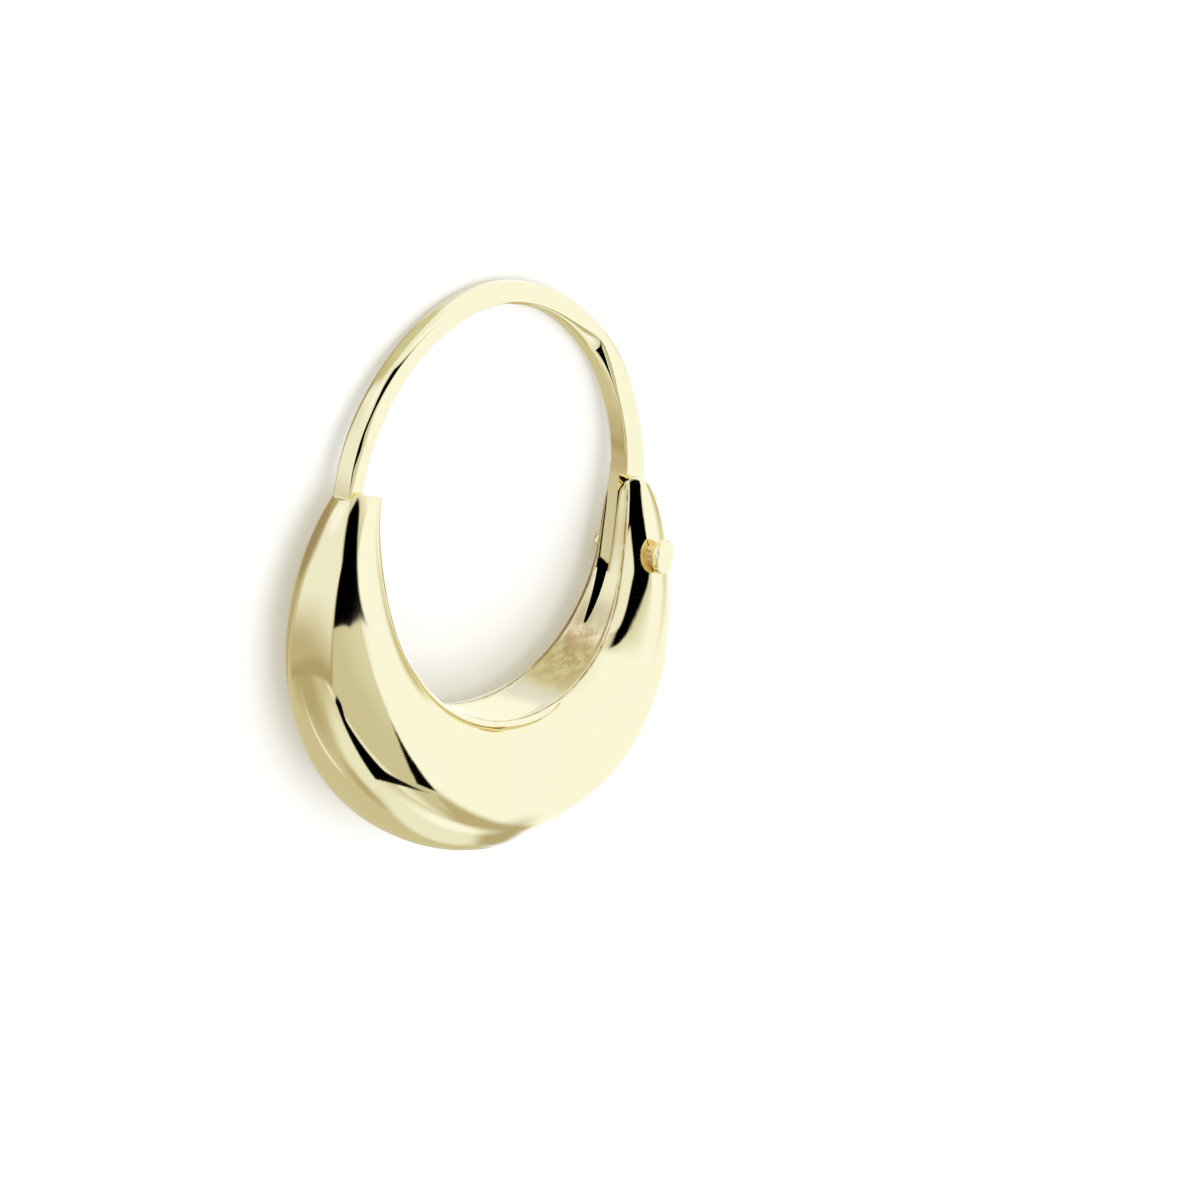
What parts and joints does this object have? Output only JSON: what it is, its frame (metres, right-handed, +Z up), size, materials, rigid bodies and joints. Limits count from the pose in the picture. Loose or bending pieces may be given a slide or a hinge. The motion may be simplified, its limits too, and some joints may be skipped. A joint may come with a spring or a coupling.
{
  "type": "hinged crescent hoop earring",
  "caption": "Hollow polished gold crescent hoop earring with an open oval hole, a riveted hinge at the back and a swinging ear wire that closes into a notch at the front.",
  "frame": {"origin": "centre of the bounding box in X and Y, at its lowest point", "axes": "the earring lies on its side: +X from the open front end to the hinge, +Y from the crescent's belly to the top of the ear wire, +Z up through the hoop's thickness"},
  "size_m": [0.0178, 0.0216, 0.0054],
  "materials": {
    "polished_gold": "high polish pale yellow gold",
    "rivet_gold": "polished pale yellow gold with rough solder round the heads"
  },
  "bodies": {
    "crescent": {"crescent_body": "polished_gold", "hinge_rivet": "rivet_gold"},
    "wire": {"ear_wire": "polished_gold"}
  },
  "joints": [
    {"name": "wire_hinge", "type": "hinge", "parent": "crescent", "child": "wire", "pos_m": [0.00735, -0.00017, 0.0018], "axis": [0, -0.1229, -0.9924], "range_deg": [0, 60]}
  ]
}
